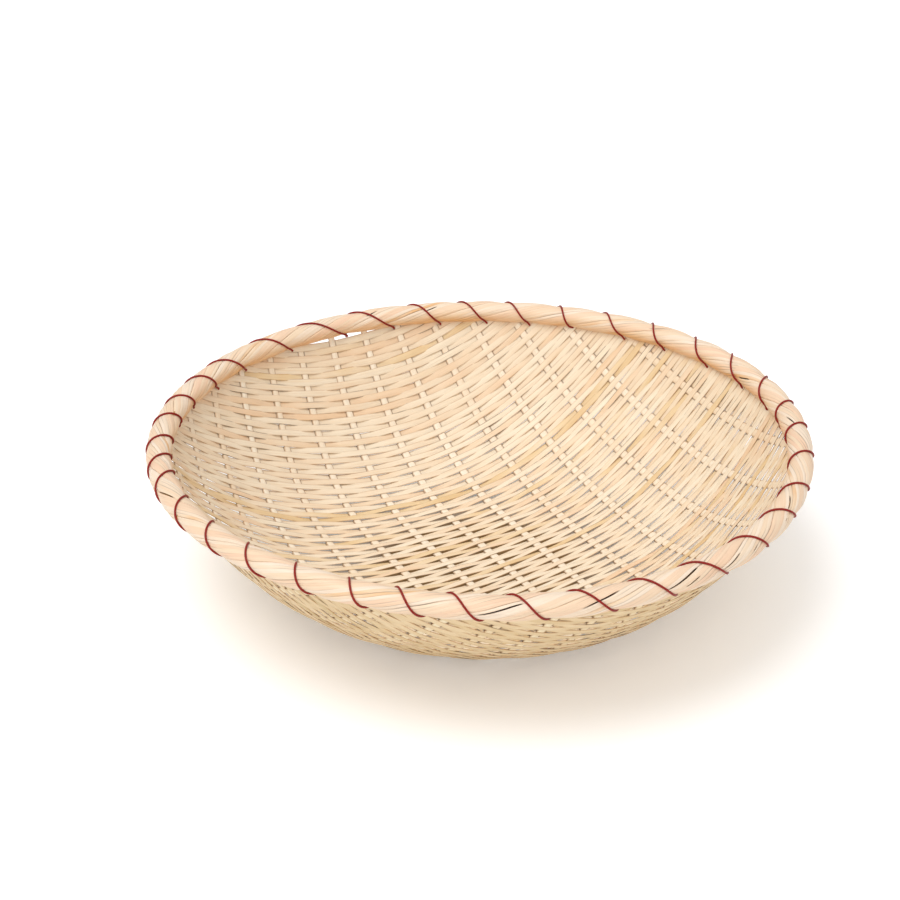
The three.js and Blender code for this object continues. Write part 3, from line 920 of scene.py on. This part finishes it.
def split_columns(strand, split, seams, heading, rng):
    """One split of a strand: its points' angles from the strand's middle, heights, tones, and painted shade
    in its seams and cracks.
    """
    place = heading * RIM_RADIUS
    rise = wander(SPLIT_SWELL_LENGTH, rng)
    tone = rng.uniform(0, 1)
    share = np.linspace(0, 1, SPLIT_POINTS)
    inward = np.zeros(SPLIT_POINTS)
    opening = np.zeros((len(heading), SPLIT_POINTS))
    for side, column, way in ((0, 0, 1), (1, -1, -1)):
        inward[column] = way
        angle = TURN * strand / STRAND_COUNT - HALF_STRAND + SPLIT_ANGLE * (split + side)
        opening[:, column] = gape(heading[:, 0], angle)
    at_seam = np.abs(inward)
    turn = seams[:, split:split + 1] * (1 - share) + seams[:, split + 1:split + 2] * share
    turn = turn + inward / 2 * (SEAM_SHARE * SPLIT_ANGLE + CRACK_WIDTH / ROPE_RADIUS * opening)
    height = SPLIT_SWELL * rise(place) - STRAND_CROWN * (turn / HALF_STRAND) ** STRAND_CROWN_POWER
    height = height - GROOVE * at_seam - CRACK_DEPTH * opening
    line = np.clip(rise(place * SEAM_SHADE_PACE) - SEAM_SHADE_START, 0, 1)
    # Painted shade: dark in gaping cracks, and in patches along the seams
    stain_and_shade = np.maximum(np.minimum(CRACK_SHADE_GAIN * opening, 1), SEAM_SHADE * line * at_seam)
    return turn, height, np.full_like(turn, tone), stain_and_shade


def with_inside(columns, value):
    """Numbers at the points of a strand's outer side, with one value added for those of its inner side."""
    return np.concatenate([columns, np.full((STRAND_RINGS, INSIDE_POINTS), value)], axis=1)


def make_strand(strand):
    rng = np.random.default_rng(STRAND_SEED + strand)
    heading = np.linspace(0, TURN, STRAND_RINGS, endpoint=False)[:, None]
    place = heading * RIM_RADIUS
    reach = HALF_STRAND - SEAM / 2 / ROPE_RADIUS
    seams = seam_angles(reach, place, rng)
    underside_wander = wander(AMBER_WANDER_LENGTH, rng)
    splits = [split_columns(strand, split, seams, heading, rng) for split in range(SPLITS_PER_STRAND)]
    turn, height, tone, stain_and_shade = (np.concatenate(columns, axis=1) for columns in zip(*splits))

    middle = TURN * strand / STRAND_COUNT - STRAND_TURNS * heading
    around = middle + turn
    wide = heading + np.zeros_like(turn)
    radius = ROPE_RADIUS + ROPE_SWELL + height - SQUEEZE * wire_nearness(wide, around)
    outside = rim_points(wide, around, radius)
    inside_turns = middle + np.linspace(reach, -reach, INSIDE_POINTS)
    inside = rim_points(heading + np.zeros(INSIDE_POINTS), inside_turns, ROPE_RADIUS - STRAND_DEPTH)
    rings = np.concatenate([outside, inside], axis=1)

    lengths = place * math.hypot(1, STRAND_TURNS * ROPE_RADIUS / RIM_RADIUS)
    outer_across = np.linspace(0, 2 * HALF_STRAND * ROPE_RADIUS, turn.shape[1])
    across = np.concatenate([outer_across, outer_across[-1] + INSIDE_LENGTHS])
    # Painted shade and reflected warm light on the rope's lower inner side, carried by the outer attribute
    amber = np.exp(-((wrapped(around - AMBER_TURN) / AMBER_REACH) ** 2))
    amber = amber * np.clip(AMBER_LEVEL + AMBER_WANDER * underside_wander(place), 0, 1)
    values = {
        "tone": with_inside(tone, INSIDE_TONE),
        "outer": with_inside(amber, 1),
        "edge": 0.0,
        "stain_and_shade": with_inside(stain_and_shade, INSIDE_SHADE),
    }
    shell = Shell()
    shell.tube(rings, np.repeat(lengths, rings.shape[1], axis=1), across, values, closed=True)
    node = f"rim_strand_{strand + 1:02d}"
    shell.piece(f"rope_strand_{strand + 1:02d}", rim_bamboo, node, SHARP_ROPE_ANGLE)


# Wire

def smooth_path(points, steps):
    """A Catmull-Rom curve through points."""
    before = np.roll(points, 1, axis=0)
    after = np.roll(points, -1, axis=0)
    beyond = np.roll(points, -2, axis=0)
    t = (np.arange(steps) / steps)[None, :, None]
    a, b, c, d = (row[:, None, :] for row in (before, points, after, beyond))
    bend = (2 * a - 5 * b + 4 * c - d) * t**2
    twist = (3 * b - a - 3 * c + d) * t**3
    return (0.5 * (2 * b + (c - a) * t + bend + twist)).reshape(-1, 3)


def tube_rings(path, radius, sides):
    """Rings round a path, turned as little as can be from each to the next."""
    tangent = np.roll(path, -1, axis=0) - np.roll(path, 1, axis=0)
    tangent /= np.linalg.norm(tangent, axis=1, keepdims=True)
    normals = np.zeros_like(path)
    normal = np.array([0.0, 0.0, 1.0])
    for index, way in enumerate(tangent):
        normal = normal - way * normal.dot(way)
        normal /= np.linalg.norm(normal)
        normals[index] = normal
    binormals = np.cross(normals, tangent)
    angle = (np.arange(sides) * TURN / sides)[None, :, None]
    spokes = normals[:, None] * np.cos(angle) + binormals[:, None] * np.sin(angle)
    return path[:, None, :] + spokes * radius


def make_wire():
    """One wire: up through the mat at each hole, then over the rope to the next hole."""
    around = np.linspace(WIRE_LEG_TURN, TURN - WIRE_LEG_TURN, WIRE_POINTS_OVER)
    distance = ROPE_RADIUS + ROPE_SWELL - SQUEEZE + WIRE_RADIUS - WIRE_SINK
    points = []
    for index in range(len(WIRE_PIXELS)):
        u, v = wire_hole(STARTS[index])
        for level in (-WIRE_PASS, WIRE_PASS):
            points.append(mat_points(np.array(u), np.array(v), np.array(level)))
        points.extend(rim_points(wire_heading(index, around), around, distance))
    rings = tube_rings(smooth_path(np.array(points), WIRE_STEPS), WIRE_RADIUS, WIRE_SIDES)
    along = np.repeat(np.arange(len(rings))[:, None] * WIRE_RING_LENGTH, WIRE_SIDES, axis=1)
    shell = Shell()
    shell.tube(rings, along, np.arange(WIRE_SIDES + 1) * WIRE_SIDE_LENGTH, {})
    shell.piece("lashing", coated_wire, "lashing_wire")


# Building

for index in range(STAKE_COUNT):
    make_stake(index)
for index in range(SPLIT_COUNT):
    make_weaver(index)
for strand in range(STRAND_COUNT):
    make_strand(strand)
make_wire()
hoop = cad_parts["rim_hoop"]
hoop.data.materials.clear()
hoop.data.materials.append(hoop_bamboo)


# Floor and light

FLOOR_HALF_SIDE = 6
FLOOR_DROP = 0.2 * MM
FLOOR_WHITE = (0.98, 0.98, 0.98)
# A brown shadow painted into the floor under the basket, fading to white between these radii
FLOOR_SHADE = picture_colour("9a7f5c")
FLOOR_SHADE_RADIUS = 62 * MM
FLOOR_OPEN_RADIUS = 104 * MM
FLOOR_LIFT = 0.2
FLOOR_CLEARNESS = 0.5
FLOOR_ROUGHNESS = 0.9
FLOOR_SPECULAR = 0.1
SKY_LEVEL = 0.4
SKY_OVERHEAD = 0.46
KEY_STRENGTH = 1.2
KEY_TURN = (24 * DEGREE, 0, -84 * DEGREE)
KEY_SIZE = 35 * DEGREE
FILL_STRENGTH = 0.62
FILL_TURN = (75 * DEGREE, 0, -30 * DEGREE)
FILL_SIZE = 60 * DEGREE


def floor_material():
    """White paper with a brown shadow painted under the basket, and clear from below.

    Under the basket it lets half of the world's light through, so that the foot isn't black from below.
    """
    g = Graph("floor_paper")
    seen = g.nodes.new("ShaderNodeLightPath").outputs["Is Camera Ray"]
    unseen = g.math("SUBTRACT", 1, seen)
    out = g.nodes.new("ShaderNodeVectorMath")
    out.operation = "LENGTH"
    g.links.new(g.nodes.new("ShaderNodeTexCoord").outputs["Object"], out.inputs[0])
    open_share = g.between(out.outputs["Value"], FLOOR_SHADE_RADIUS, FLOOR_OPEN_RADIUS)
    paper = g.mix(g.math("MAXIMUM", open_share, unseen), FLOOR_SHADE, FLOOR_WHITE)
    g.links.new(paper, g.shader.inputs["Base Color"])
    g.links.new(paper, g.shader.inputs["Emission Color"])
    g.links.new(g.math("MULTIPLY", seen, FLOOR_LIFT), g.shader.inputs["Emission Strength"])
    g.shader.inputs["Roughness"].default_value = FLOOR_ROUGHNESS
    g.shader.inputs["Specular IOR Level"].default_value = FLOOR_SPECULAR
    below = g.nodes.new("ShaderNodeNewGeometry").outputs["Backfacing"]
    shaded = g.math("SUBTRACT", 1, open_share)
    clearness = g.math("MULTIPLY", g.math("MULTIPLY", unseen, shaded), FLOOR_CLEARNESS)
    both = g.nodes.new("ShaderNodeMixShader")
    g.links.new(g.math("MAXIMUM", below, clearness), both.inputs["Fac"])
    g.links.new(g.shader.outputs[0], both.inputs[1])
    g.links.new(g.nodes.new("ShaderNodeBsdfTransparent").outputs[0], both.inputs[2])
    g.links.new(both.outputs[0], g.nodes["Material Output"].inputs["Surface"])
    return g.material


def add_floor():
    half = FLOOR_HALF_SIDE
    mesh = bpy.data.meshes.new("floor")
    corners = [(-half, -half, 0), (half, -half, 0), (half, half, 0), (-half, half, 0)]
    mesh.from_pydata(corners, [], [(0, 1, 2, 3)])
    mesh.materials.append(floor_material())
    floor = bpy.data.objects.new("floor", mesh)
    floor.location.z = -FLOOR_DROP
    bpy.context.scene.collection.objects.link(floor)


def add_sun(name, strength, turn, size):
    light = bpy.data.lights.new(name, "SUN")
    light.energy = strength
    light.angle = size
    made = bpy.data.objects.new(name, light)
    made.rotation_euler = turn
    bpy.context.scene.collection.objects.link(made)


def add_world():
    """A soft white sky, lighter above than at the horizon. The camera sees it as plain white."""
    world = bpy.data.worlds.new("studio")
    world.use_nodes = True
    nodes = world.node_tree.nodes
    links = world.node_tree.links
    background = nodes["Background"]
    background.inputs["Color"].default_value = (1, 1, 1, 1)
    way = nodes.new("ShaderNodeSeparateXYZ")
    links.new(nodes.new("ShaderNodeTexCoord").outputs["Generated"], way.inputs[0])
    sky = nodes.new("ShaderNodeMapRange")
    links.new(way.outputs["Z"], sky.inputs["Value"])
    sky.inputs["To Min"].default_value = SKY_LEVEL
    sky.inputs["To Max"].default_value = SKY_LEVEL + SKY_OVERHEAD
    seen = nodes.new("ShaderNodeMix")
    links.new(nodes.new("ShaderNodeLightPath").outputs["Is Camera Ray"], seen.inputs["Factor"])
    links.new(sky.outputs["Result"], seen.inputs["A"])
    seen.inputs["B"].default_value = 1
    links.new(seen.outputs["Result"], background.inputs["Strength"])
    bpy.context.scene.world = world


add_floor()
add_world()
add_sun("key", KEY_STRENGTH, KEY_TURN, KEY_SIZE)
add_sun("fill", FILL_STRENGTH, FILL_TURN, FILL_SIZE)
bpy.context.scene.view_settings.view_transform = "Standard"
